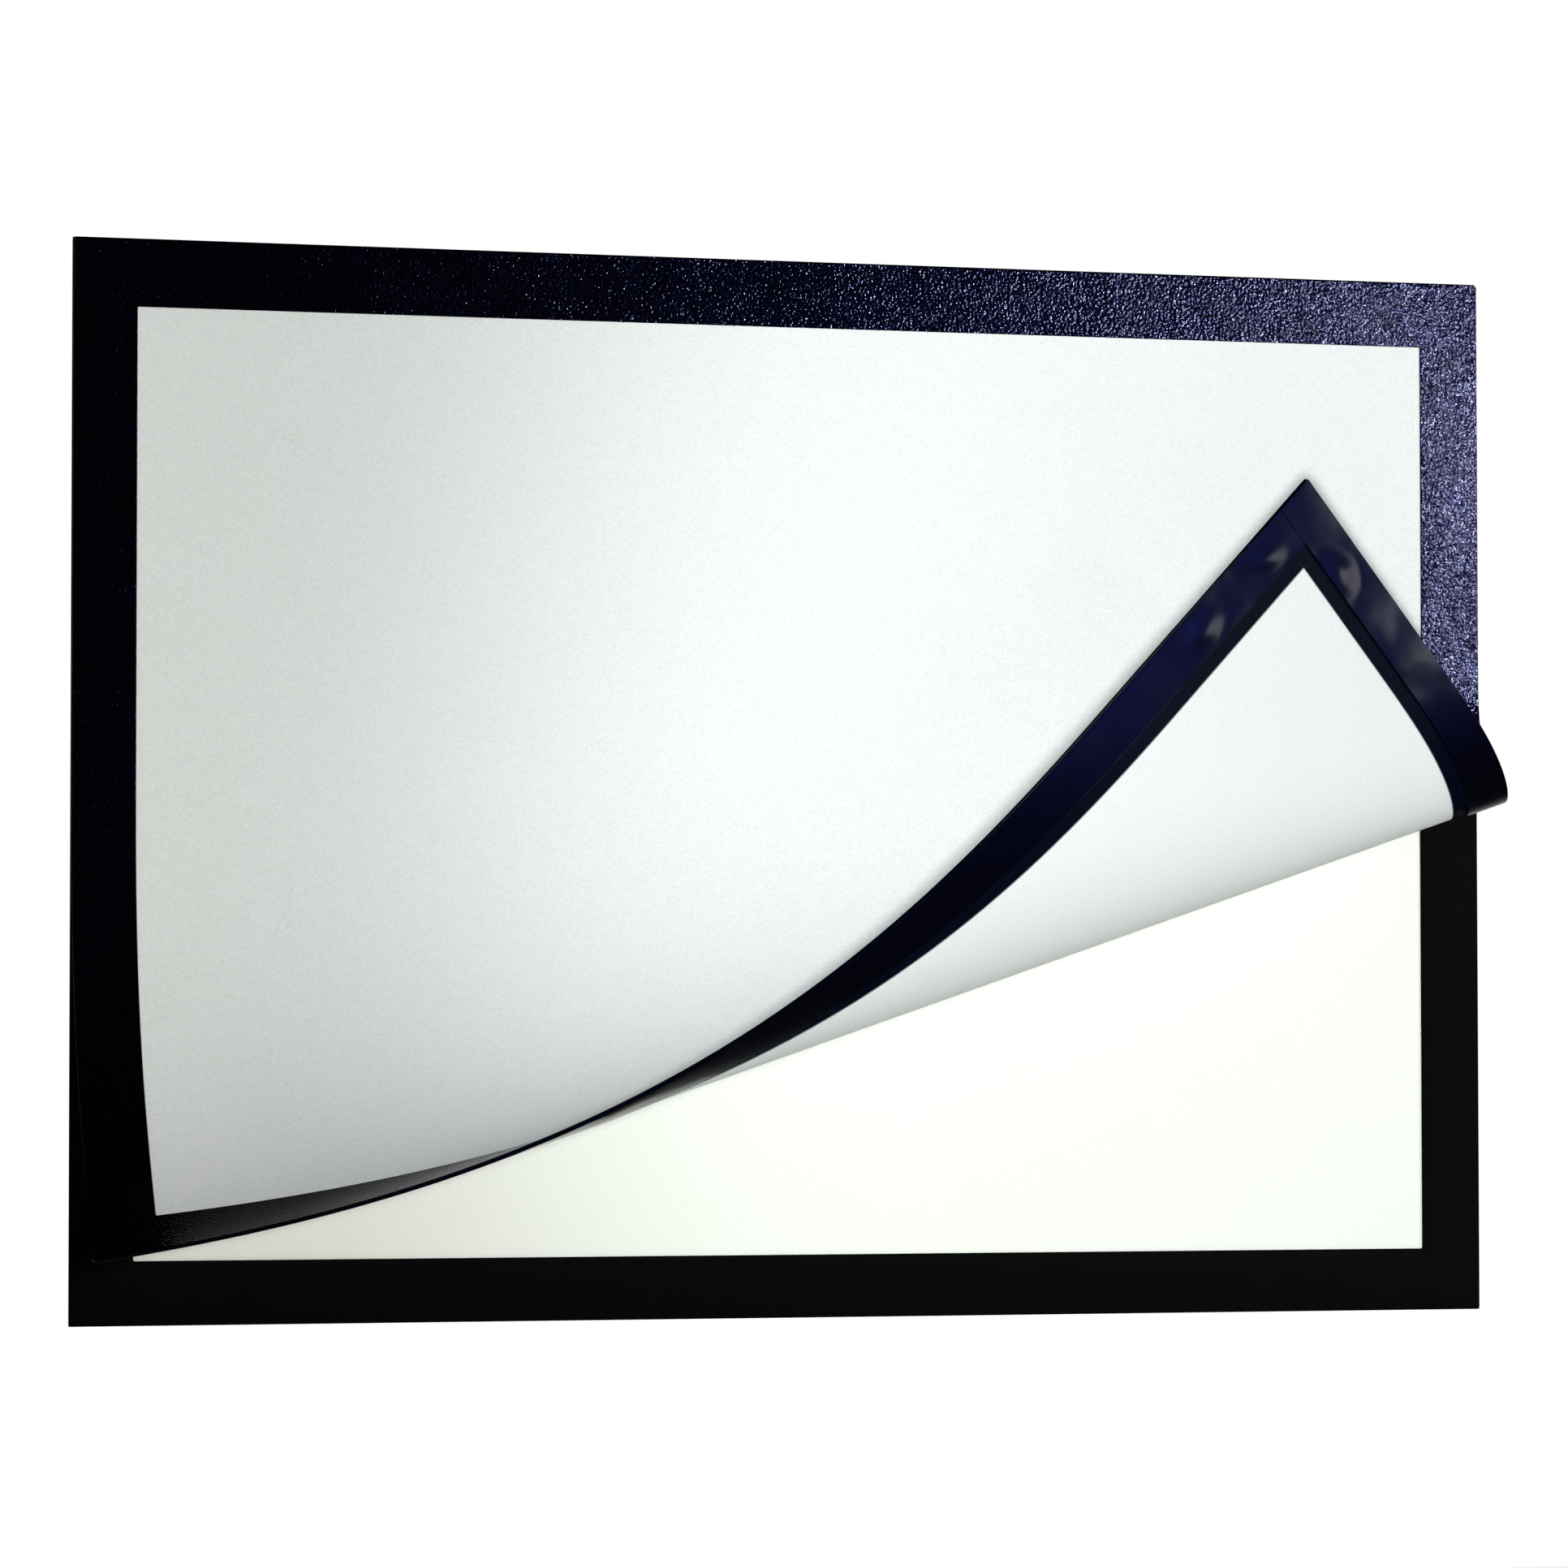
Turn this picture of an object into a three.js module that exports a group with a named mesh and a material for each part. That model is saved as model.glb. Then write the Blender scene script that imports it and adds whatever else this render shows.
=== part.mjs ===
// Self-adhesive poster frame for an A2 sheet in landscape, with its magnetic cover peeled back.
// Millimetres. X runs along the frame to the right, Z is up and the wall is at +Y.
// The origin is the middle of the upper adhesive strip's wall face.
import * as THREE from 'three';

// Sheets and border, seen from the front
const SHEET_WIDTH = 629;
const SHEET_HEIGHT = 455;
const BORDER_WIDTH = 27;
const TOP_BORDER_WIDTH = 28.5;
const MAGNET_WIDTH = 20;
const HINGE_FILM_WIDTH = 12;
const ADHESIVE_WIDTH = 15;

// Thickness of each layer
const ADHESIVE_THICKNESS = 0.8;
const BACKING_THICKNESS = 0.5;
const MAGNET_THICKNESS = 0.8;
const BORDER_THICKNESS = 0.3;
const FILM_THICKNESS = 0.3;
const HINGE_FILM_THICKNESS = 0.3;

// Clearances
const COVER_CLEARANCE = 0.3;
const LAYER_CLEARANCE = 0.25;
const BUTT_CLEARANCE = 0.3;
const FLAP_CLEARANCE = 0.4;
const HINGE_EDGE_CLEARANCE = 0.3;

// The two magnets along the cover's top meet at this share of its width
const TOP_MAGNET_SHARE = 0.428;

// The peeled part of the cover is a cone. Its tip lies beyond the right edge, and the film bends along
// straight lines through that tip. Seen from there, the bend starts before the sheet's lower left corner
// and ends after it, and each line is given by its angle below the horizontal.
const TIP_BEYOND_RIGHT_EDGE = 233;
const TIP_ABOVE_MIDDLE = 74;
const BEND_BEFORE_CORNER = THREE.MathUtils.degToRad(14.9);
const BEND_AFTER_CORNER = THREE.MathUtils.degToRad(20.4);
const BEND_TURN = THREE.MathUtils.degToRad(173);

// Flaps that stand in for the bent film, and the steps in which the bend is followed from one to the next
const FLAP_COUNT = 8;
const STEPS_PER_FLAP = 100;

const LEFT = -SHEET_WIDTH / 2;
const RIGHT = SHEET_WIDTH / 2;
const TOP = SHEET_HEIGHT / 2;
const BOTTOM = -SHEET_HEIGHT / 2;

// Distance of each layer's rear face in front of the wall
const BACKING_REAR = ADHESIVE_THICKNESS;
const BACK_MAGNET_REAR = BACKING_REAR + BACKING_THICKNESS;
const BACK_BORDER_REAR = BACK_MAGNET_REAR + MAGNET_THICKNESS;
const HINGE_FILM_REAR = BACK_BORDER_REAR + BORDER_THICKNESS;
const HINGE_LINE = HINGE_FILM_REAR + HINGE_FILM_THICKNESS;
const COVER_MAGNET_REAR = HINGE_LINE + COVER_CLEARANCE;
const COVER_FILM_REAR = COVER_MAGNET_REAR + MAGNET_THICKNESS + LAYER_CLEARANCE;
const COVER_BORDER_REAR = COVER_FILM_REAR + FILM_THICKNESS + LAYER_CLEARANCE;
const COVER_FRONT = COVER_BORDER_REAR + BORDER_THICKNESS;

// The adhesive strips lie behind the middle of the magnets.
const ADHESIVE_INSET = (MAGNET_WIDTH - ADHESIVE_WIDTH) / 2;

const TIP = new THREE.Vector3(RIGHT + TIP_BEYOND_RIGHT_EDGE, -COVER_FRONT, TIP_ABOVE_MIDDLE);
const CORNER_ANGLE = Math.atan2(TIP.z - BOTTOM, TIP.x - LEFT);
const BEND_START = CORNER_ANGLE - BEND_BEFORE_CORNER;
const BEND_WIDTH = BEND_BEFORE_CORNER + BEND_AFTER_CORNER;

const FINISHES = {
  blackFilm: { color: 0x0b0b10, roughness: 0.42, metalness: 0 },
  clearFilm: { color: 0xe3eae7, roughness: 0.4, metalness: 0, transparent: true, opacity: 0.6 },
  backing: { color: 0xf4f4ee, roughness: 0.7, metalness: 0 },
  magnet: { color: 0x15151d, roughness: 0.55, metalness: 0 },
  hingeFilm: { color: 0x101014, roughness: 0.5, metalness: 0 },
  adhesive: { color: 0xe8e4d8, roughness: 0.8, metalness: 0 },
};

// A flat piece, which may have a window. Its outline is a list of [x, z] points, and its rear face lies
// a distance before the wall.
function slab(name, outline, rear, thickness, finish, window = []) {
  const shape = new THREE.Shape(outline.map(([x, z]) => new THREE.Vector2(x, z)));
  if (window.length > 0) shape.holes.push(new THREE.Path(window.map(([x, z]) => new THREE.Vector2(x, z))));
  const geometry = new THREE.ExtrudeGeometry(shape, { depth: thickness, bevelEnabled: false });
  geometry.rotateX(Math.PI / 2);
  const mesh = new THREE.Mesh(geometry, new THREE.MeshStandardMaterial(FINISHES[finish]));
  mesh.name = name;
  mesh.position.y = -rear;
  return mesh;
}

function rectangle(left, right, bottom, top) {
  return [[left, bottom], [right, bottom], [right, top], [left, top]];
}

// Outlines of the four bars of a band that runs round the sheet, inset from its edge.
function bandBars(width, inset) {
  const [left, right, bottom, top] = [LEFT + inset, RIGHT - inset, BOTTOM + inset, TOP - inset];
  const sideBottom = bottom + width + BUTT_CLEARANCE;
  const sideTop = top - width - BUTT_CLEARANCE;
  return {
    top: rectangle(left, right, top - width, top),
    bottom: rectangle(left, right, bottom, bottom + width),
    left: rectangle(left, left + width, sideBottom, sideTop),
    right: rectangle(right - width, right, sideBottom, sideTop),
  };
}

// The cover's band below its top bar, in two outlines: the right side, and the left side with the bottom.
function coverBands(width) {
  const sideTop = TOP - width - BUTT_CLEARANCE;
  const innerLeft = LEFT + width;
  const innerBottom = BOTTOM + width;
  const bottomEnd = RIGHT - width - BUTT_CLEARANCE;
  return {
    right: rectangle(RIGHT - width, RIGHT, BOTTOM, sideTop),
    lower_left: [
      [LEFT, sideTop], [LEFT, BOTTOM], [bottomEnd, BOTTOM],
      [bottomEnd, innerBottom], [innerLeft, innerBottom], [innerLeft, sideTop],
    ],
  };
}

// How much of the turn is done at a share of the way through the bend: it bends most midway.
function turnDone(way) {
  return (1 - Math.cos(Math.PI * way)) / 2;
}

// The share of the way at each hinge line. From one to the next, the way and the turn together grow by
// equal steps, and each place is found by halving the interval.
const HINGE_WAYS = Array.from({ length: FLAP_COUNT }, (_, index) => {
  const wanted = index / (FLAP_COUNT - 1);
  let [low, high] = [0, 1];
  for (let halving = 0; halving < 50; halving += 1) {
    const middle = (low + high) / 2;
    if ((middle + turnDone(middle)) / 2 < wanted) low = middle;
    else high = middle;
  }
  return (low + high) / 2;
});

// Follows the bent film from the tip's view, and gives each hinge line's direction. At every step the
// film bends about its line, and the next line lies further round.
function followBend() {
  const line = new THREE.Vector3(-Math.cos(BEND_START), 0, -Math.sin(BEND_START));
  const front = new THREE.Vector3(0, -1, 0);
  const lines = [line.clone()];
  for (let index = 1; index < FLAP_COUNT; index += 1) {
    const step = (HINGE_WAYS[index] - HINGE_WAYS[index - 1]) / STEPS_PER_FLAP;
    for (let count = 0; count < STEPS_PER_FLAP; count += 1) {
      const way = HINGE_WAYS[index - 1] + step * count;
      const turn = BEND_TURN * (turnDone(way + step) - turnDone(way));
      front.applyAxisAngle(line, turn / 2);
      line.applyAxisAngle(front, BEND_WIDTH * step);
      front.applyAxisAngle(line, turn / 2);
    }
    lines.push(line.clone());
  }
  return { lines, lastFront: front };
}

// Each hinge line's angle on the flat film, and the turn of the flap after it. The flaps are flat, so
// each is a chord of the bend, from its own hinge line to the next.
function placeHinges() {
  const { lines, lastFront } = followBend();
  let angle = BEND_START;
  let front = new THREE.Vector3(0, -1, 0);
  return lines.map((line, index) => {
    const next = lines[index + 1];
    const nextFront = next ? line.clone().cross(next).normalize() : lastFront;
    const hinge = { angle, turn: front.angleTo(nextFront) };
    angle += next ? line.angleTo(next) : 0;
    front = nextFront;
    return hinge;
  });
}

const HINGES = placeHinges();

// Distance of a point below the line through the tip at an angle.
function distanceBelow([x, z], angle) {
  return (x - TIP.x) * Math.sin(angle) - (z - TIP.z) * Math.cos(angle);
}

// The part of an outline where a distance is zero or more.
function keep(outline, distance) {
  const kept = [];
  outline.forEach((point, index) => {
    const next = outline[(index + 1) % outline.length];
    const [here, there] = [distance(point), distance(next)];
    if (here >= 0) kept.push(point);
    if ((here > 0 && there < 0) || (here < 0 && there > 0)) {
      const share = here / (here - there);
      kept.push([point[0] + (next[0] - point[0]) * share, point[1] + (next[1] - point[1]) * share]);
    }
  });
  return kept;
}

// The part of an outline between two hinge lines, less half the clearance at each. Line -1 isn't cut,
// nor is the line after the last.
function betweenHinges(outline, index) {
  let part = outline;
  if (index >= 0) {
    part = keep(part, (point) => distanceBelow(point, HINGES[index].angle) - FLAP_CLEARANCE / 2);
  }
  if (index + 1 < FLAP_COUNT) {
    part = keep(part, (point) => -distanceBelow(point, HINGES[index + 1].angle) - FLAP_CLEARANCE / 2);
  }
  return part;
}

// The half that stays on the wall: backing, magnets, border, adhesive strips and the hinge film.
function backHalf() {
  const group = new THREE.Group();
  const sheet = rectangle(LEFT, RIGHT, BOTTOM, TOP);
  const window = rectangle(
    LEFT + BORDER_WIDTH, RIGHT - BORDER_WIDTH, BOTTOM + BORDER_WIDTH, TOP - TOP_BORDER_WIDTH,
  );
  group.add(slab('backing_sheet', sheet, BACKING_REAR, BACKING_THICKNESS, 'backing'));
  group.add(slab('back_border', sheet, BACK_BORDER_REAR, BORDER_THICKNESS, 'blackFilm', window));
  for (const [side, outline] of Object.entries(bandBars(MAGNET_WIDTH, 0))) {
    group.add(slab(`back_magnet_${side}`, outline, BACK_MAGNET_REAR, MAGNET_THICKNESS, 'magnet'));
  }
  for (const [side, outline] of Object.entries(bandBars(ADHESIVE_WIDTH, ADHESIVE_INSET))) {
    group.add(slab(`adhesive_${side}`, outline, 0, ADHESIVE_THICKNESS, 'adhesive'));
  }
  const leaf = rectangle(LEFT, RIGHT, TOP - HINGE_FILM_WIDTH, TOP);
  group.add(slab('hinge_film', leaf, HINGE_FILM_REAR, HINGE_FILM_THICKNESS, 'hingeFilm'));
  return group;
}

// One stretch of the cover between two hinge lines: film, and magnets at both sides. Stretch -1 is the
// flat part above the first line.
function coverStretch(prefix, index) {
  const group = new THREE.Group();
  const film = betweenHinges(rectangle(LEFT, RIGHT, BOTTOM, TOP - HINGE_EDGE_CLEARANCE), index);
  group.add(slab(`${prefix}_film`, film, COVER_FILM_REAR, FILM_THICKNESS, 'clearFilm'));
  for (const [side, outline] of Object.entries(coverBands(MAGNET_WIDTH))) {
    const part = betweenHinges(outline, index);
    group.add(slab(`${prefix}_magnet_${side}`, part, COVER_MAGNET_REAR, MAGNET_THICKNESS, 'magnet'));
  }
  return group;
}

// The flat part of the cover, with the border in one piece along the top and down both sides. The top
// magnet is in two that meet end to end.
function flatCover() {
  const group = coverStretch('cover', -1);
  const top = TOP - HINGE_EDGE_CLEARANCE;
  const [innerLeft, innerRight] = [LEFT + BORDER_WIDTH, RIGHT - BORDER_WIDTH];
  const innerTop = TOP - TOP_BORDER_WIDTH;
  const topAndSides = [
    [LEFT, BOTTOM], [innerLeft, BOTTOM], [innerLeft, innerTop], [innerRight, innerTop],
    [innerRight, BOTTOM], [RIGHT, BOTTOM], [RIGHT, top], [LEFT, top],
  ];
  const border = betweenHinges(topAndSides, -1);
  group.add(slab('cover_border', border, COVER_BORDER_REAR, BORDER_THICKNESS, 'blackFilm'));
  const seam = LEFT + SHEET_WIDTH * TOP_MAGNET_SHARE;
  const magnets = {
    cover_magnet_top_left: rectangle(LEFT, seam - BUTT_CLEARANCE / 2, TOP - MAGNET_WIDTH, top),
    cover_magnet_top_right: rectangle(seam + BUTT_CLEARANCE / 2, RIGHT, TOP - MAGNET_WIDTH, top),
  };
  for (const [name, outline] of Object.entries(magnets)) {
    group.add(slab(name, outline, COVER_MAGNET_REAR, MAGNET_THICKNESS, 'magnet'));
  }
  return group;
}

// One flap, from its hinge line to the next: film, magnets and the border's two stretches.
function flap(index) {
  const prefix = `flap_${index + 1}`;
  const group = coverStretch(prefix, index);
  for (const [side, outline] of Object.entries(coverBands(BORDER_WIDTH))) {
    const part = betweenHinges(outline, index);
    group.add(slab(`${prefix}_border_${side}`, part, COVER_BORDER_REAR, BORDER_THICKNESS, 'blackFilm'));
  }
  return group;
}

// Turns a group forward about one hinge line, which runs through the tip.
function bendForward(group, { angle, turn }) {
  const line = new THREE.Vector3(-Math.cos(angle), 0, -Math.sin(angle));
  group.quaternion.setFromAxisAngle(line, turn);
  group.position.copy(TIP).sub(TIP.clone().applyQuaternion(group.quaternion));
}

// The cover: its flat part, and the flaps, each turned on the one before it.
function cover() {
  const group = flatCover();
  let carrier = group;
  HINGES.forEach((hinge, index) => {
    const next = flap(index);
    bendForward(next, hinge);
    carrier.add(next);
    carrier = next;
  });
  return group;
}

const frame = new THREE.Group();
frame.position.z = ADHESIVE_INSET + ADHESIVE_WIDTH / 2 - TOP;
frame.add(backHalf(), cover());

export default frame;
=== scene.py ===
"""Looks of the poster frame: peeled cover, borders, magnets, backing, light and camera."""

import math

import bmesh
import bpy
import numpy as np
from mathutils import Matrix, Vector

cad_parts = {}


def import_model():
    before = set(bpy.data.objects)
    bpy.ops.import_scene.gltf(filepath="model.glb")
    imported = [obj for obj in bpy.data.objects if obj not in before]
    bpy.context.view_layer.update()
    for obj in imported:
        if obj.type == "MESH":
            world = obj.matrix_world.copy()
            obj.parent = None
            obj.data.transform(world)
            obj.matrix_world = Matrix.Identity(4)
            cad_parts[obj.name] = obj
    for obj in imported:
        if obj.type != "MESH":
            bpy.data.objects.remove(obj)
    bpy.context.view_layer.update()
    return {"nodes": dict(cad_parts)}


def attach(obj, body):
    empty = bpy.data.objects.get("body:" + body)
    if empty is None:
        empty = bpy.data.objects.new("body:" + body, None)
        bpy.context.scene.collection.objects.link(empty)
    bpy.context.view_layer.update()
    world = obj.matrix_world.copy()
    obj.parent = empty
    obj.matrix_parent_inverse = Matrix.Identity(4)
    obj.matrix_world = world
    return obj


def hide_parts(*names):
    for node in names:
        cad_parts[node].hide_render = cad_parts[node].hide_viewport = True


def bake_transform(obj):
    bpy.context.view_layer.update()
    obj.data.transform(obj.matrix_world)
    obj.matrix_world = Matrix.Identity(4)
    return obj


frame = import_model()

# Sizes in millimetres, as in the part's source. X runs to the right, Z is up and the wall is at +Y.
# A place on the flat cover is (x, z, height), with z from the sheet's middle and height before its front.
MM = 0.001
WIDTH, HEIGHT = 629.0, 455.0
LEFT, RIGHT, BOTTOM, TOP = -WIDTH / 2, WIDTH / 2, -HEIGHT / 2, HEIGHT / 2
BORDER_WIDTH = 27.0
TOP_BORDER_WIDTH = 28.5
MAGNET_WIDTH = 20.0
BUTT_CLEARANCE = 0.3
COVER_TOP = TOP - 0.3
COVER_FRONT = 4.9
BACK_FRONT = 2.4
SHEET_MIDDLE = -217.5
SEAM_SHARE = 0.428
SEAM = LEFT + WIDTH * SEAM_SHARE

# The bend of the cover, from its first hinge line to its last
TIP_X, TIP_Z = RIGHT + 233.0, 74.0
FLAPS = 8
STEPS = 100
CORNER_ANGLE = math.atan2(TIP_Z - BOTTOM, TIP_X - LEFT)
BEND_BEFORE_CORNER, BEND_AFTER_CORNER = math.radians(14.9), math.radians(20.4)
BEND_START = CORNER_ANGLE - BEND_BEFORE_CORNER
BEND_WIDTH = BEND_BEFORE_CORNER + BEND_AFTER_CORNER
BEND_TURN = math.radians(173.0)
TURN_PER_STRIP = math.radians(1.5)
FEWEST_STRIPS = 4

# A ridge and a dip of the top border at the seam, and two waves, as (x, reach, height)
SWELLS = [(SEAM, 1.1, 0.05), (SEAM + 2.6, 0.9, -0.05), (60, 7, 0.14), (143, 9, 0.12)]

# Where the top strip is cut upright to carry the swells, as (x, reach, count)
SWELL_CUTS = [(SEAM + 0.8, 5.0, 20), (60, 18, 16), (143, 22, 16)]
SWELL_FADE = 3
FRONT_DEPTH = -0.3
SHARP_EDGE = math.radians(20)


# The bent surface

def turned(v, axis, angle):
    """A direction turned about an axis."""
    c, s = math.cos(angle), math.sin(angle)
    return v * c + np.cross(axis, v) * s + axis * (axis @ v) * (1 - c)


def turn_done(way):
    """The share of the turn that is done after a share of the bend's width."""
    return (1 - math.cos(math.pi * way)) / 2


def hinge_way(index):
    """Where a hinge line lies along the bend. The lines share out its width and its turn evenly."""
    low, high = 0.0, 1.0
    for _ in range(50):
        middle = (low + high) / 2
        if (middle + turn_done(middle)) / 2 < index / (FLAPS - 1):
            low = middle
        else:
            high = middle
    return (low + high) / 2


def follow_bend():
    """Tables along the bend: the share of the turn done, each line's direction and the front's normal."""
    ways = [hinge_way(index) for index in range(FLAPS)]
    line = np.array([-math.cos(BEND_START), 0.0, -math.sin(BEND_START)])
    front = np.array([0.0, -1.0, 0.0])
    rows = [(0.0, line, front)]
    for first, last in zip(ways, ways[1:]):
        step = (last - first) / STEPS
        for count in range(STEPS):
            way = first + step * count
            turn = BEND_TURN * (turn_done(way + step) - turn_done(way))
            front = turned(front, line, turn / 2)
            line = turned(line, front, BEND_WIDTH * step)
            front = turned(front, line, turn / 2)
            rows.append((turn_done(way + step), line, front))
    return [np.array(column) for column in zip(*rows)]


DONE, LINES, FRONTS = follow_bend()
HINGE_LINES = LINES[::STEPS]


def angle_between(a, b):
    """The angle between two directions."""
    return math.atan2(np.linalg.norm(np.cross(a, b)), a @ b)


def flat_hinges():
    """Each hinge line's angle on the flat cover, and the front's normal of the flap before and after it."""
    angles, normals = [BEND_START], [np.array([0.0, -1.0, 0.0])]
    for line, following in zip(HINGE_LINES, HINGE_LINES[1:]):
        angles.append(angles[-1] + angle_between(line, following))
        normal = np.cross(line, following)
        normals.append(normal / np.linalg.norm(normal))
    return np.array(angles), np.array(normals + [FRONTS[-1]])


HINGE_ANGLES, FLAP_NORMALS = flat_hinges()
STATIONS = np.interp(np.arange(len(LINES)), np.arange(FLAPS) * STEPS, HINGE_ANGLES)
TIP = np.array([TIP_X, -COVER_FRONT, TIP_Z])


def flat_angle(x, z):
    """The angle below the horizontal at which the cone's tip sees a point of the flat cover."""
    return np.arctan2(TIP_Z - z, TIP_X - x)


def ruling(angle):
    """Direction and front normal of the cover's straight lines at these angles."""
    inside = np.clip(angle, HINGE_ANGLES[0], HINGE_ANGLES[-1])
    lines = np.stack([np.interp(inside, STATIONS, LINES[:, i]) for i in range(3)], axis=1)
    fronts = np.stack([np.interp(inside, STATIONS, FRONTS[:, i]) for i in range(3)], axis=1)
    lines /= np.linalg.norm(lines, axis=1)[:, None]
    fronts /= np.linalg.norm(fronts, axis=1)[:, None]
    beyond = (angle - inside)[:, None]
    return lines * np.cos(beyond) + np.cross(fronts, lines) * np.sin(beyond), fronts


def on_cover(points):
    """Where points of the flat cover (x, z, height before its front) are at rest, in the row frame."""
    x, z, height = points.T
    lines, fronts = ruling(flat_angle(x, z))
    distance = np.hypot(TIP_X - x, TIP_Z - z)
    place = TIP + lines * distance[:, None] + fronts * height[:, None]
    return place + [0, 0, SHEET_MIDDLE]


def on_wall(points):
    """The same for points before the front of the back half's border."""
    x, z, height = points.T
    return np.stack([x, -BACK_FRONT - height, z + SHEET_MIDDLE], axis=1)


def closing_weights(points, band):
    """How far each point follows a band's hinge, so that it lies flat when the cover is closed."""
    angle = flat_angle(points[:, 0], points[:, 1])
    angle = np.where(abs(angle - HINGE_ANGLES[band]) < 1e-6, angle + 1e-5, angle)
    lines, _ = ruling(angle)
    side = np.sign(angle - HINGE_ANGLES[band])
    normal = FLAP_NORMALS[band]
    ahead = np.cross(normal, HINGE_LINES[band])
    turn = angle_between(normal, FLAP_NORMALS[band + 1])
    return np.arctan2(side * (lines @ normal), side * (lines @ ahead)) / turn


# Flat shapes, as lists of (x, z, height) polygons

def rounded(inset, radius, top=TOP, steps=3):
    """The outline of the sheet at an inset, with rounded corners, from the lower left corner's left end."""
    left, right, bottom, top = LEFT + inset, RIGHT - inset, BOTTOM + inset, top - inset
    if inset > MAGNET_WIDTH + 1:
        top -= TOP_BORDER_WIDTH - BORDER_WIDTH
    corners = [
        (left + radius, bottom + radius, 180), (right - radius, bottom + radius, 270),
        (right - radius, top - radius, 0), (left + radius, top - radius, 90),
    ]
    points = []
    for x, z, start in corners:
        for step in range(steps + 1):
            a = math.radians(start + 90 * step / steps)
            points.append((x + radius * math.cos(a), z + radius * math.sin(a)))
    return points


def ring(profile, top=TOP, outer=1.3, inner=0.6):
    """A closed frame. Its profile is a closed list of (inset, height)."""
    loops = []
    for inset, height in profile:
        radius = max(outer - inset, inner)
        loops.append([(x, z, height) for x, z in rounded(inset, radius, top)])
    polygons = []
    for here, there in zip(loops, loops[1:] + loops[:1]):
        for i in range(len(here)):
            j = (i + 1) % len(here)
            polygons.append([here[i], here[j], there[j], there[i]])
    return polygons


def sheet(outline, back, front):
    """A flat sheet with this outline, between two heights."""
    polygons = [[(x, z, h) for x, z in outline] for h in (back, front)]
    for (x1, z1), (x2, z2) in zip(outline, outline[1:] + outline[:1]):
        polygons.append([(x1, z1, back), (x2, z2, back), (x2, z2, front), (x1, z1, front)])
    return polygons


def clipped(polygon, distance):
    """The part of a polygon where a distance is zero or more."""
    kept = []
    values = [distance(p) for p in polygon]
    for i, point in enumerate(polygon):
        j = (i + 1) % len(polygon)
        here, there = values[i], values[j]
        if here >= 0:
            kept.append(point)
        if (here > 0 and there < 0) or (here < 0 and there > 0):
            share = here / (here - there)
            kept.append(tuple(a + (b - a) * share for a, b in zip(point, polygon[j])))
    return kept


def below(angle):
    """A function that gives a point's distance below the line through the tip at an angle."""
    s, c = math.sin(angle), math.cos(angle)
    return lambda p: (p[0] - TIP_X) * s - (p[1] - TIP_Z) * c


def between(polygons, first, last):
    """The parts of polygons between two lines through the tip. None leaves that side uncut."""
    out = []
    for polygon in polygons:
        if first is not None:
            polygon = clipped(polygon, below(first))
        if last is not None and polygon:
            distance = below(last)
            polygon = clipped(polygon, lambda p: -distance(p))
        if len(polygon) >= 3:
            out.append(polygon)
    return out


def side_by_side(polygons, places):
    """Polygons cut along upright lines."""
    out = []
    for polygon in polygons:
        rest = polygon
        for place in places:
            part = clipped(rest, lambda p: place - p[0])
            rest = clipped(rest, lambda p: p[0] - place)
            if len(part) >= 3:
                out.append(part)
        if len(rest) >= 3:
            out.append(rest)
    return out


# Meshes

def piece(name, polygons, place, material, swell=None):
    """A closed piece. swell adds to each point's height."""
    index, points, faces = {}, [], []
    for polygon in polygons:
        face = []
        for p in polygon:
            key = tuple(round(v, 3) for v in p)
            if key not in index:
                index[key] = len(points)
                points.append(p)
            if index[key] not in face:
                face.append(index[key])
        if len(face) >= 3:
            faces.append(face)
    flat = np.array(points, float)
    if swell is not None:
        flat[:, 2] += swell(flat[:, 0], flat[:, 1], flat[:, 2])
    mesh = bpy.data.meshes.new(name)
    mesh.from_pydata((place(flat) * MM).tolist(), [], faces)
    attribute = mesh.attributes.new("sheet_mm", "FLOAT_VECTOR", "POINT")
    attribute.data.foreach_set("vector", flat.astype(np.float32).ravel())
    bm = bmesh.new()
    bm.from_mesh(mesh)
    bmesh.ops.holes_fill(bm, edges=[e for e in bm.edges if e.is_boundary], sides=0)
    bmesh.ops.recalc_face_normals(bm, faces=bm.faces)
    for face in bm.faces:
        face.smooth = True
    for edge in bm.edges:
        if edge.is_manifold and edge.calc_face_angle() > SHARP_EDGE:
            edge.smooth = False
    bm.to_mesh(mesh)
    bm.free()
    obj = bpy.data.objects.new(name, mesh)
    bpy.context.scene.collection.objects.link(obj)
    mesh.materials.append(material)
    return obj, flat


# Materials

def feed(tree, socket, value):
    """Gives a socket a value, or links it to the socket that makes the value."""
    if isinstance(value, bpy.types.NodeSocket):
        tree.links.new(value, socket)
    else:
        socket.default_value = value


def add_node(tree, kind, inputs=(), **settings):
    """A new shader node, with its settings made and its inputs fed."""
    made = tree.nodes.new("ShaderNode" + kind)
    for key, value in settings.items():
        setattr(made, key, value)
    for key, value in dict(inputs).items():
        feed(tree, made.inputs[key], value)
    return made


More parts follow.
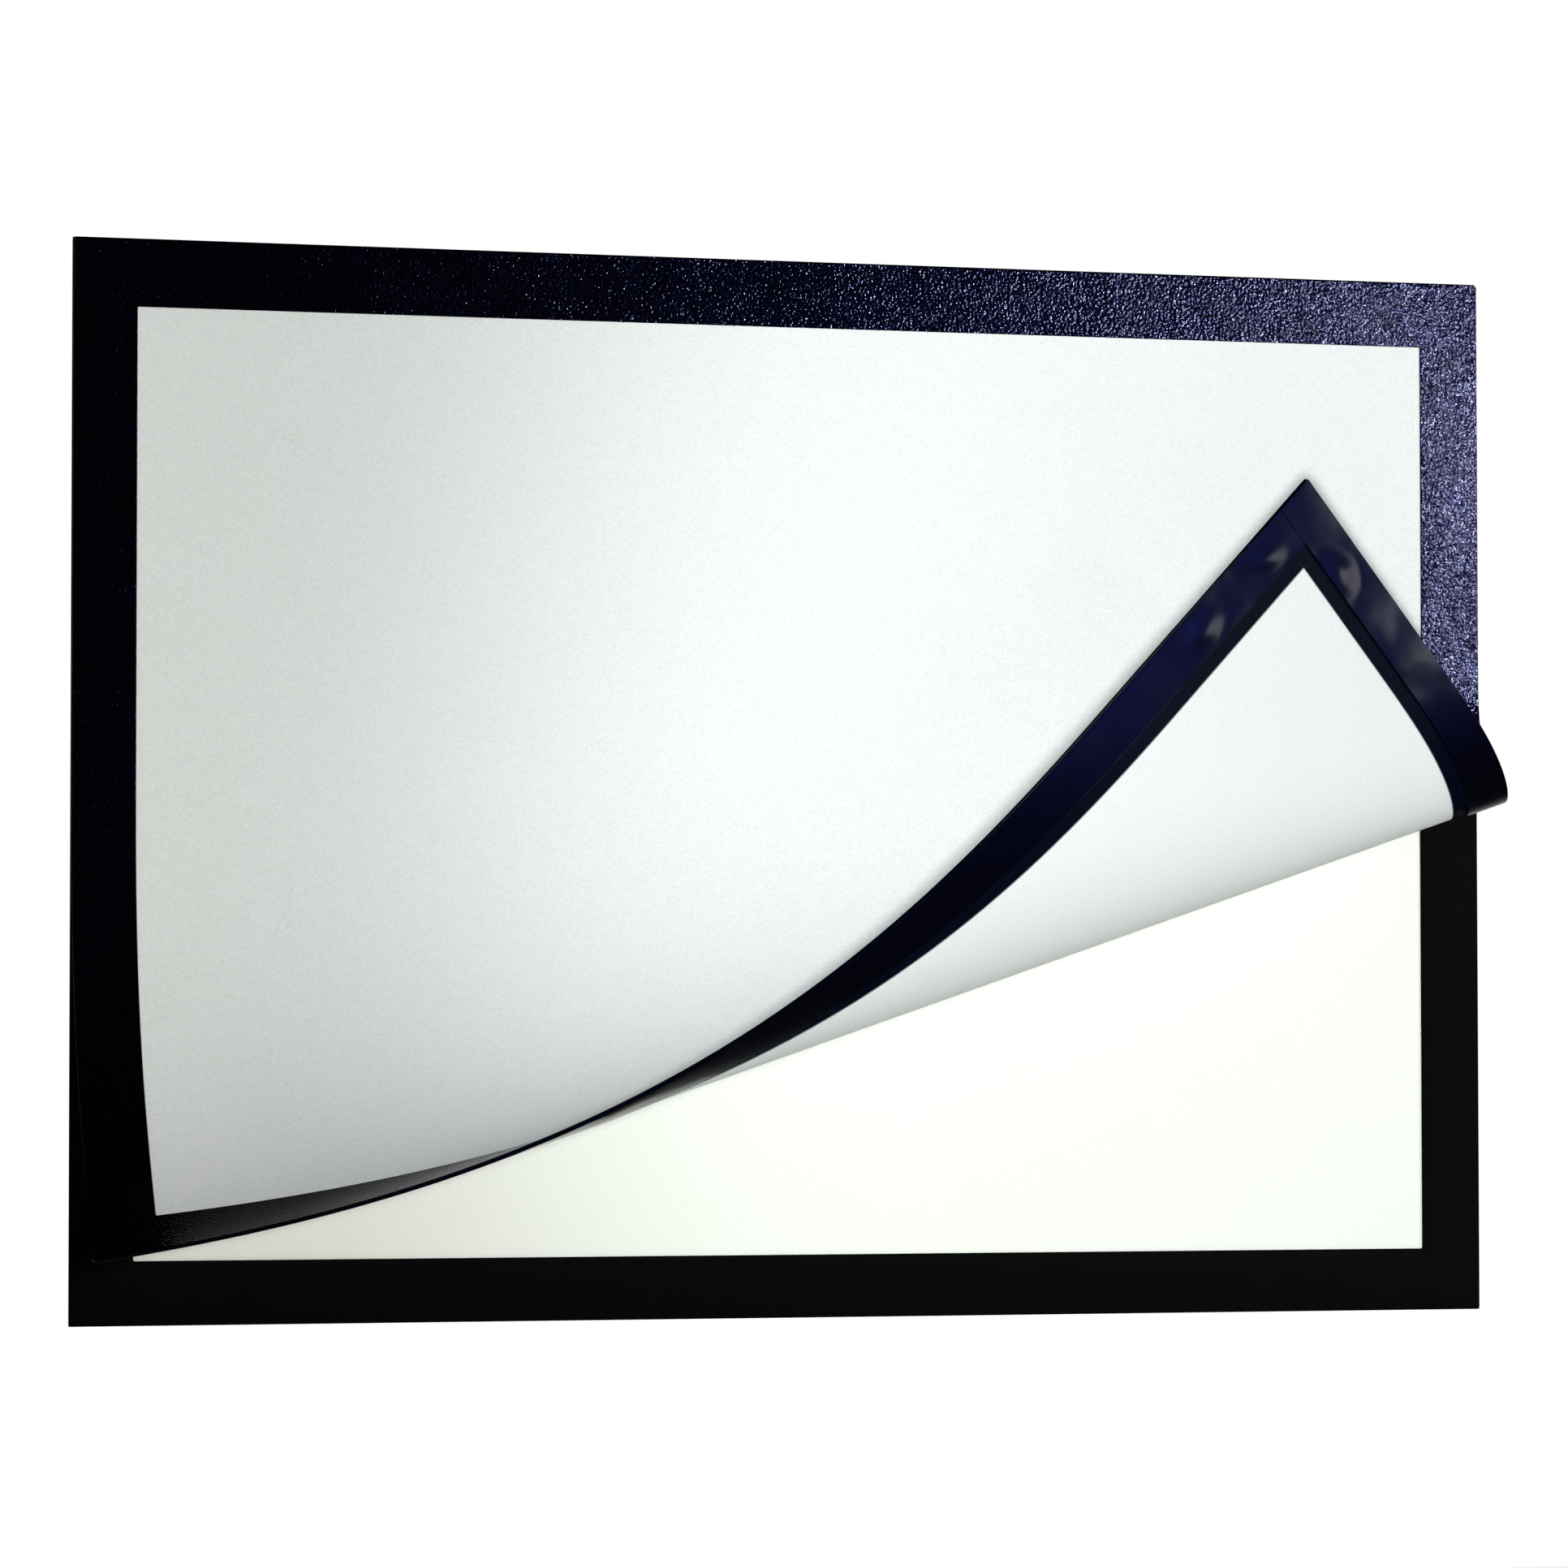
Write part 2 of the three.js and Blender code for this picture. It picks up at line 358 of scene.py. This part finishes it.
class Nodes:
    """Makes a material's nodes and links in few words."""

    def __init__(self, name):
        self.material = bpy.data.materials.new(name)
        self.material.use_nodes = True
        self.tree = self.material.node_tree
        self.shader = self.tree.nodes["Principled BSDF"]

    def node(self, kind, inputs=(), **settings):
        """A new node of this material."""
        return add_node(self.tree, kind, inputs, **settings)

    def math(self, operation, a, b=0.0):
        """The result of a calculation with one value or two."""
        return self.node("Math", {0: a, 1: b}, operation=operation).outputs[0]

    def noise(self, place, scale, detail=2.0, roughness=0.5):
        """Noise with this many waves per millimetre."""
        inputs = {"Vector": place, "Scale": scale, "Detail": detail, "Roughness": roughness}
        return self.node("TexNoise", inputs).outputs["Fac"]

    def range(self, value, low, high, to_low=0.0, to_high=1.0):
        """A value taken from one range to another, and held at its ends."""
        inputs = {0: value, 1: low, 2: high, 3: to_low, 4: to_high}
        return self.node("MapRange", inputs).outputs[0]

    def mix(self, share, a, b):
        """A colour between two colours."""
        return self.node("Mix", {0: share, 6: a, 7: b}, data_type="RGBA").outputs[2]

    def bump(self, height, strength, distance, normal=None):
        """The normal of a surface raised by a height, over another normal if one is given."""
        inputs = {"Height": height, "Strength": strength, "Distance": distance}
        if normal is not None:
            inputs["Normal"] = normal
        return self.node("Bump", inputs).outputs[0]

    def rise(self, place, x, z, length, width, degrees, height):
        """A soft oval rise on the sheet, in millimetres."""
        inputs = {0: place, 1: (x, z, 0), 2: (0, 0, math.radians(degrees)), 3: (length, width, 1e6)}
        oval = self.node("Mapping", inputs, vector_type="TEXTURE").outputs[0]
        reach = self.node("VectorMath", {0: oval}, operation="LENGTH").outputs["Value"]
        inputs = {0: reach, 1: 0.0, 2: 1.0, 3: height, 4: 0.0}
        return self.node("MapRange", inputs, interpolation_type="SMOOTHSTEP").outputs[0]

    def sheet(self):
        """A point's place on the flat sheet, in millimetres."""
        return self.node("Attribute", attribute_name="sheet_mm").outputs["Vector"]

    def row(self):
        """A point's place in the row frame, in millimetres."""
        place = self.node("TexCoord").outputs["Object"]
        return self.node("VectorMath", {0: place, 3: 1 / MM}, operation="SCALE").outputs[0]

    def set(self, **values):
        """Feeds the shader's inputs. Their names are written with _ for a space."""
        for key, value in values.items():
            feed(self.tree, self.shader.inputs[key.replace("_", " ")], value)
        return self.material


# The border film's grain and clouds per millimetre, the grain's height, and where the gloss sets in
GRAIN_SCALE, CLOUD_SCALE = 0.72, 0.05
GRAIN_HEIGHT = 0.30
DULL_X, GLOSSY_X = -230, -110
DULL_SHARE = 0.08


def black_film():
    """Navy where it is dim, paler where it gleams: a broad blue lobe under a narrow clear one."""
    n = Nodes("black_film")
    place = n.sheet()
    cloudy = n.noise(place, CLOUD_SCALE, 3.0, 0.6)
    waves = n.bump(n.noise(place, 0.014, 1.0), 1.0, 0.6 * MM)
    pebbles = n.noise(place, GRAIN_SCALE, 1.0, 0.5)
    grain = n.bump(pebbles, n.range(cloudy, 0.3, 0.7, 0.7, 1.0), GRAIN_HEIGHT * MM, waves)
    colour = n.mix(pebbles, (0.0004, 0.0004, 0.0008, 1), (0.0012, 0.0012, 0.0024, 1))
    rough = n.range(cloudy, 0.3, 0.7, 0.15, 0.19)
    n.set(Base_Color=colour, Roughness=rough, Normal=grain, Coat_Normal=grain)
    n.set(Specular_IOR_Level=0.024, Specular_Tint=(0.08, 0.12, 1.0, 1))
    across = n.node("SeparateXYZ", {0: place}).outputs[0]
    n.set(Coat_Weight=n.range(across, DULL_X, GLOSSY_X, DULL_SHARE, 1.0))
    return n.set(Coat_Roughness=0.07, Coat_IOR=1.08)


# Soft rises on the rear of the peeled corner's magnets: x, z, length, width, degrees, height
RUBBER_RISES = [
    (272, -219, 17, 8, 27, 0.5), (229, -217, 17, 9, 0, 0.5), (299, -187, 15, 12, 90, 0.6),
]


def magnet_rubber():
    """Smooth black rubber, bluish where it is dim, in soft waves."""
    n = Nodes("magnet_rubber")
    place = n.sheet()
    fine = n.noise(place, 2.0, 2.0, 0.6)
    height = n.noise(place, 0.028, 1.5)
    for rise in RUBBER_RISES:
        height = n.math("ADD", height, n.rise(place, *rise))
    waves = n.bump(height, 1.0, 1.0 * MM)
    normal = n.bump(fine, 0.3, 0.02 * MM, waves)
    colour = n.mix(n.noise(place, 0.2, 3.0), (0.0006, 0.0006, 0.002, 1), (0.0012, 0.0012, 0.004, 1))
    rough = n.range(fine, 0.3, 0.7, 0.36, 0.42)
    n.set(Base_Color=colour, Roughness=rough, Normal=normal, Coat_Normal=normal)
    n.set(Specular_IOR_Level=0.08, Specular_Tint=(0.06, 0.10, 1.0, 1))
    return n.set(Coat_Weight=1.0, Coat_Roughness=0.12, Coat_IOR=1.12)


# Half the width over which the film turns from clear to dark at the window's edge
WINDOW_BLUR = 0.4


def clear_film():
    """Frosted over the window. Over the border it lies close, and is as dark as what is behind it."""
    n = Nodes("clear_film")
    place = n.sheet()
    part = n.node("SeparateXYZ", {0: place}).outputs
    lowered = (TOP_BORDER_WIDTH - BORDER_WIDTH) / 2
    half_width, half_height = RIGHT - BORDER_WIDTH, TOP - BORDER_WIDTH - lowered
    height = n.math("ABSOLUTE", n.math("ADD", part[1], lowered))
    within = [
        n.range(reach, half - WINDOW_BLUR, half + WINDOW_BLUR, 1.0, 0.0)
        for reach, half in ((n.math("ABSOLUTE", part[0]), half_width), (height, half_height))
    ]
    window = n.math("MULTIPLY", *within)
    fine = n.noise(place, 1.1, 3.0, 0.65)
    frosted = n.range(fine, 0.35, 0.65, 0.83, 0.90)
    alpha = n.range(window, 0.0, 1.0, 0.5, frosted)
    pale = n.mix(n.noise(place, 0.02, 2.0), (0.875, 0.91, 0.90, 1), (0.90, 0.93, 0.925, 1))
    speckled = n.mix(n.range(fine, 0.56, 0.70, 0.0, 0.5), pale, (1.0, 1.0, 1.0, 1))
    shaded = n.mix(n.range(fine, 0.30, 0.44, 0.35, 0.0), speckled, (0.72, 0.76, 0.75, 1))
    colour = n.mix(window, (0.002, 0.004, 0.014, 1), shaded)
    n.set(Base_Color=colour, Roughness=n.range(fine, 0.3, 0.7, 0.40, 0.50), Alpha=alpha)
    n.set(Normal=n.bump(fine, 0.3, 0.03 * MM))
    return n.set(Specular_IOR_Level=0.02)


def plain(name, dark, light, rough, fine_scale, bump, specular=0.4):
    """A matte or satin material with mottled colour, uneven roughness and grain that is bump mm high."""
    n = Nodes(name)
    place = n.row()
    fine = n.noise(place, fine_scale, 3.0, 0.65)
    broad = n.mix(n.noise(place, 0.05, 3.0), (*dark, 1), (*light, 1))
    paler = (*(min(1.0, v * 1.25) for v in light), 1)
    speckled = n.mix(n.range(fine, 0.52, 0.70, 0.0, 0.25), broad, paler)
    n.set(Base_Color=speckled, Roughness=n.range(fine, 0.3, 0.7, rough - 0.05, rough + 0.05))
    n.set(Normal=n.bump(fine, 0.4, bump * MM))
    return n.set(Specular_IOR_Level=specular)


BLACK = black_film()
RUBBER = magnet_rubber()
FILM = clear_film()
BACK_BORDER = plain(
    "back_border_matte", (0.0003, 0.0003, 0.0004), (0.0009, 0.0009, 0.0012), 0.6, 1.2, 0.05, specular=0.01)
BACKING = plain("backing_sheet_white", (0.685, 0.705, 0.65), (0.70, 0.72, 0.665), 0.55, 1.2, 0.04)
HINGE = plain("hinge_film_black", (0.004, 0.004, 0.006), (0.010, 0.010, 0.013), 0.45, 1.5, 0.04)
TAPE = plain("adhesive_tape", (0.70, 0.68, 0.60), (0.80, 0.78, 0.71), 0.75, 0.9, 0.10)
BACK_RUBBER = plain("back_magnet_rubber", (0.006, 0.006, 0.010), (0.014, 0.014, 0.020), 0.5, 2.0, 0.03)


# The cover

def edge_levels():
    """Angles that cut the bend into strips, for each band of the cover."""
    turns = DONE * BEND_TURN
    middles = (HINGE_ANGLES[1:] + HINGE_ANGLES[:-1]) / 2
    ends = [HINGE_ANGLES[0], *middles, HINGE_ANGLES[-1]]
    bands = []
    for first, last in zip(ends, ends[1:]):
        a, b = np.interp([first, last], STATIONS, turns)
        count = max(FEWEST_STRIPS, math.ceil((b - a) / TURN_PER_STRIP))
        levels = np.interp(np.linspace(a, b, count + 1), turns, STATIONS)
        levels[0], levels[-1] = first, last
        bands.append(levels)
    return bands


def seam_swell(x, z, height):
    """How much the front of the top strip rises over the seam of the two magnets and in the two waves."""
    top = np.clip((z - (TOP - MAGNET_WIDTH - SWELL_FADE)) / SWELL_FADE, 0, 1)
    swell = sum(rise * np.exp(-((x - middle) / reach) ** 2) for middle, reach, rise in SWELLS)
    return np.where(height > FRONT_DEPTH, top * swell, 0)


def cut_places():
    """Upright cuts across the top strip where it swells."""
    places = set()
    for middle, reach, count in SWELL_CUTS:
        places |= {round(v, 2) for v in np.linspace(middle - reach, middle + reach, count)}
    return sorted(places)


BORDER_PROFILE = [
    (0.0, -0.40), (0.0, -0.12), (0.12, -0.03), (0.4, 0.0), (0.8, 0.0), (26.3, 0.0),
    (26.7, 0.0), (26.9, -0.04), (27.0, -0.12), (27.0, -0.49), (0.12, -0.49),
]
MAGNET_PROFILE = [(0.35, -0.86), (0.35, -1.75), (0.55, -1.9), (19.7, -1.9), (20.0, -1.7), (20.0, -0.86)]

FILM_INSET, FILM_RADIUS = 0.5, 1.0
FILM_REAR, FILM_FRONT = -0.85, -0.50

border_shape = ring(BORDER_PROFILE, COVER_TOP)
film_shape = sheet(rounded(FILM_INSET, FILM_RADIUS, COVER_TOP), FILM_REAR, FILM_FRONT)


def magnet_bars():
    """The magnets behind the cover's border: two along the top, one at the right, one round the rest."""
    whole = ring(MAGNET_PROFILE, COVER_TOP)
    side_top = TOP - MAGNET_WIDTH - BUTT_CLEARANCE
    below_top = [clipped(p, lambda q: side_top - q[1]) for p in whole]
    at_top = [clipped(p, lambda q: q[1] - (TOP - MAGNET_WIDTH)) for p in whole]
    apart = BUTT_CLEARANCE / 2
    split = RIGHT - MAGNET_WIDTH - apart
    parts = {
        "top_left": [clipped(p, lambda q: SEAM - apart - q[0]) for p in at_top],
        "top_right": [clipped(p, lambda q: q[0] - SEAM - apart) for p in at_top],
        "lower_left": [clipped(p, lambda q: split - apart - q[0]) for p in below_top],
        "right": [clipped(p, lambda q: q[0] - split - apart) for p in below_top],
    }
    return {side: [p for p in polygons if len(p) >= 3] for side, polygons in parts.items()}


magnets = magnet_bars()


def flat_part(name, shape, material, nodes, swell=None, cuts=()):
    """The part of a shape above the first hinge line, which rides on the cover."""
    polygons = between(shape, None, HINGE_ANGLES[0])
    if len(cuts):
        polygons = side_by_side(polygons, cuts)
    obj, _ = piece(name, polygons, on_cover, material, swell)
    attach(obj, "cover")
    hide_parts(*nodes)
    return obj


def band_part(name, shape, material, band, levels, nodes):
    """One band of a shape, between two flaps, shaped as it lies in the bend at rest."""
    polygons = []
    for first, last in zip(levels, levels[1:]):
        polygons += between(shape, first, last)
    obj, flat = piece(name, polygons, on_cover, material)
    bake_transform(obj)
    weights = closing_weights(flat, band).astype(np.float32)
    if nodes:
        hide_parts(*nodes)
    return obj


def corner_part(name, shape, material, nodes):
    """The flat part beyond the last hinge line, which rides on the last flap."""
    obj, _ = piece(name, between(shape, HINGE_ANGLES[-1], None), on_cover, material)
    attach(obj, f"flap_{FLAPS}")
    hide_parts(*nodes)
    return obj


# Each layer's shape, material, slot, and the names of its pieces on a flap
LEVELS = edge_levels()
LAYERS = {
    "film": (film_shape, FILM, "clear_film", ("film",)),
    "border": (border_shape, BLACK, "black_film", ("border_right", "border_lower_left")),
    "magnet_right": (magnets["right"], RUBBER, "magnet", ("magnet_right",)),
    "magnet_lower_left": (magnets["lower_left"], RUBBER, "magnet", ("magnet_lower_left",)),
}
for layer, (shape, material, slot, parts) in LAYERS.items():
    flat_nodes = ("cover_border",) if layer == "border" else (f"cover_{layer}",)
    swelling = (seam_swell, cut_places()) if layer == "border" else (None, ())
    made = [flat_part(f"{layer}_flat", shape, material, flat_nodes, *swelling)]
    for band, levels in enumerate(LEVELS):
        nodes = [f"flap_{band + 1}_{part}" for part in parts] if band + 1 < FLAPS else []
        made.append(band_part(f"{layer}_band_{band + 1}", shape, material, band, levels, nodes))
    nodes = [f"flap_{FLAPS}_{part}" for part in parts]
    made.append(corner_part(f"{layer}_corner", shape, material, nodes))

for side in ("top_left", "top_right"):
    bar, _ = piece(f"magnet_{side}", magnets[side], on_cover, RUBBER)
    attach(bar, "cover")
    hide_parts(f"cover_magnet_{side}")


# The back half

BACK_PROFILE = [
    (0.0, -0.30), (0.0, -0.10), (0.10, -0.02), (0.35, 0.0), (19.5, 0.0), (20.3, -0.05),
    (26.8, -0.05), (27.0, -0.12), (27.0, -0.30),
]
back_border, _ = piece("back_border_frame", ring(BACK_PROFILE), on_wall, BACK_BORDER)
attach(back_border, "back_half")
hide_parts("back_border")

BACKING_RADIUS = 1.3
BACKING_REAR, BACKING_FRONT = -1.6, -1.1
backing_shape = sheet(rounded(0.0, BACKING_RADIUS), BACKING_REAR, BACKING_FRONT)
backing, _ = piece("backing_sheet_rounded", backing_shape, on_wall, BACKING)
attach(backing, "back_half")
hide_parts("backing_sheet")

# Solids that keep their shape and get a fine bevel
EDGE_BEVEL = 0.08
CARRIED_OVER = {"hinge_film": HINGE}
for side in ("top", "bottom", "left", "right"):
    CARRIED_OVER[f"back_magnet_{side}"] = BACK_RUBBER
    CARRIED_OVER[f"adhesive_{side}"] = TAPE
for name, material in CARRIED_OVER.items():
    node = frame["nodes"][name]
    node.data.materials.clear()
    node.data.materials.append(material)
    bevel = node.modifiers.new("edge", "BEVEL")
    bevel.width = EDGE_BEVEL * MM
    bevel.segments = 2
    bevel.limit_method = "ANGLE"


# The fold's middle line as (y, z), its thickness, its distance from the sides, and its place for grain
FOLD_LINE = [(-2.55, 6.0), (-2.55, 9.0), (-2.62, 9.75), (-3.0, 10.12), (-3.6, 10.02), (-4.0, 9.66)]
FOLD_THICKNESS = 0.12
FOLD_INSET = 0.6
FOLD_SHEET_Z = 235.0


def hinge_fold():
    """The strip of film that joins the halves along the top edge, in the fold it has at rest."""
    outer, inner = [], []
    for i, (y, z) in enumerate(FOLD_LINE):
        before, after = FOLD_LINE[max(i - 1, 0)], FOLD_LINE[min(i + 1, len(FOLD_LINE) - 1)]
        dy, dz = after[0] - before[0], after[1] - before[1]
        length = math.hypot(dy, dz)
        ny, nz = dz / length * FOLD_THICKNESS / 2, -dy / length * FOLD_THICKNESS / 2
        outer.append((y + ny, z + nz))
        inner.append((y - ny, z - nz))
    section = outer + inner[::-1]
    ends = [LEFT + FOLD_INSET, RIGHT - FOLD_INSET]
    verts = [(x * MM, y * MM, z * MM) for x in ends for y, z in section]
    n = len(section)
    faces = [list(range(n))[::-1], list(range(n, 2 * n))]
    faces += [[i, (i + 1) % n, n + (i + 1) % n, n + i] for i in range(n)]
    mesh = bpy.data.meshes.new("hinge_fold")
    mesh.from_pydata(verts, [], faces)
    flat = np.array([(v[0] / MM, FOLD_SHEET_Z, v[2] / MM) for v in verts], np.float32)
    mesh.attributes.new("sheet_mm", "FLOAT_VECTOR", "POINT").data.foreach_set("vector", flat.ravel())
    mesh.materials.append(BLACK)
    obj = bpy.data.objects.new("hinge_fold", mesh)
    bpy.context.scene.collection.objects.link(obj)
    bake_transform(obj)


hinge_fold()


# Floor, light and camera

# In metres, and how strongly the floor glows to the camera
FLOOR_REACH, FLOOR_Z = 9.0, -1.35
FLOOR_GLOW = 0.75


def floor():
    """A plain pale floor, left out of reflections."""
    mesh = bpy.data.meshes.new("floor")
    signs = ((-1, -1), (1, -1), (1, 1), (-1, 1))
    mesh.from_pydata([(x * FLOOR_REACH, y * FLOOR_REACH, FLOOR_Z) for x, y in signs], [], [(0, 1, 2, 3)])
    n = Nodes("floor_white")
    n.set(Base_Color=(0.8, 0.8, 0.8, 1), Roughness=0.9)
    glow = n.math("MULTIPLY", n.node("LightPath").outputs["Is Camera Ray"], FLOOR_GLOW)
    n.set(Emission_Color=(1, 1, 1, 1), Emission_Strength=glow, Specular_IOR_Level=0.0)
    mesh.materials.append(n.material)
    obj = bpy.data.objects.new("floor", mesh)
    obj.visible_glossy = False
    bpy.context.scene.collection.objects.link(obj)


def world(fill, backdrop):
    """A white background, an even fill, and for gloss a dark room with a pale backdrop behind the object."""
    made = bpy.data.worlds.new("studio")
    made.use_nodes = True
    tree = made.node_tree
    background = tree.nodes["Background"]

    def node(kind, inputs=(), **settings):
        return add_node(tree, kind, inputs, **settings).outputs

    path = node("LightPath")
    part = node("SeparateXYZ", {0: node("TexCoord")["Generated"]})
    soft = {"interpolation_type": "SMOOTHSTEP"}
    height = node("Math", {0: part[2]}, operation="ABSOLUTE")[0]
    level = node("MapRange", {0: height, 1: 0.15, 2: 0.55, 3: backdrop, 4: 0.0}, **soft)[0]
    behind = node("MapRange", {0: part[1], 1: 0.0, 2: 0.3}, **soft)[0]
    glossy = node("Math", {0: level, 1: behind}, operation="MULTIPLY")[0]
    lit = node("Mix", {0: path["Is Glossy Ray"], 2: fill, 3: glossy})[0]
    clear = node("Math", {0: path["Is Camera Ray"], 1: path["Is Transmission Ray"]}, operation="MAXIMUM")[0]
    feed(tree, background.inputs["Strength"], node("Mix", {0: clear, 2: lit, 3: 1.0})[0])
    feed(tree, background.inputs["Color"], (1, 1, 1, 1))
    bpy.context.scene.world = made


def lamp(kind, name, place, target, power, colour=(1, 1, 1), gloss=False, diffuse=True, **settings):
    """A light that isn't seen itself, turned to a target. gloss and diffuse say what it lights."""
    data = bpy.data.lights.new(name, kind)
    data.energy = power
    data.color = colour
    for key, value in settings.items():
        setattr(data, key, value)
    obj = bpy.data.objects.new(name, data)
    obj.location = place
    direction = Vector(target) - Vector(place)
    obj.rotation_euler = direction.to_track_quat("-Z", "Y").to_euler()
    obj.visible_camera = False
    obj.visible_glossy = gloss
    obj.visible_diffuse = diffuse
    bpy.context.scene.collection.objects.link(obj)


floor()
world(fill=0.14, backdrop=0.38)

# The fill and the pool come from beside the camera. The sheen and the rim are seen only in gloss.
BESIDE_CAMERA = (-0.74, -2.6, -0.36)
SOFT_WHITE = (1.0, 1.0, 0.955)
COOL_WHITE = (0.91, 0.96, 1.0)
GLOSS_ONLY = {"gloss": True, "diffuse": False, "shape": "SQUARE"}
lamp("AREA", "fill", BESIDE_CAMERA, (0, 0, -0.22), 39, SOFT_WHITE, shape="DISK", size=0.2)
lamp("SPOT", "pool", BESIDE_CAMERA, (0.816, 0, -0.24), 157, COOL_WHITE,
     spot_size=math.radians(39.6), spot_blend=0.424, shadow_soft_size=0.08)
lamp("AREA", "sheen", (1.5, -2.6, 0.17), (0.3, 0, -0.12), 188, size=0.20, **GLOSS_ONLY)
lamp("AREA", "rim", (1.95, -1.05, -0.10), (0.2, -0.1, -0.12), 3.5, size=0.25, **GLOSS_ONLY)
lamp("AREA", "behind", (0.7, 2.8, 0.5), (0, 0, -0.22), 70, (1.0, 1.0, 0.98), shape="DISK", size=1.2)

# Fitted to the frame's corners, the window and the fold in the photograph
CAMERA_PLACE = (-0.74253, -2.59968, -0.33123)
CAMERA_DEGREES = (92.4467, 0.0485, -15.8419)
LENS, SENSOR = 144.162, 36

camera_data = bpy.data.cameras.new("camera")
camera_data.sensor_width = SENSOR
camera_data.lens = LENS
camera = bpy.data.objects.new("camera", camera_data)
camera.location = CAMERA_PLACE
camera.rotation_euler = [math.radians(angle) for angle in CAMERA_DEGREES]
bpy.context.scene.collection.objects.link(camera)
bpy.context.scene.camera = camera
bpy.context.scene.view_settings.view_transform = "Standard"
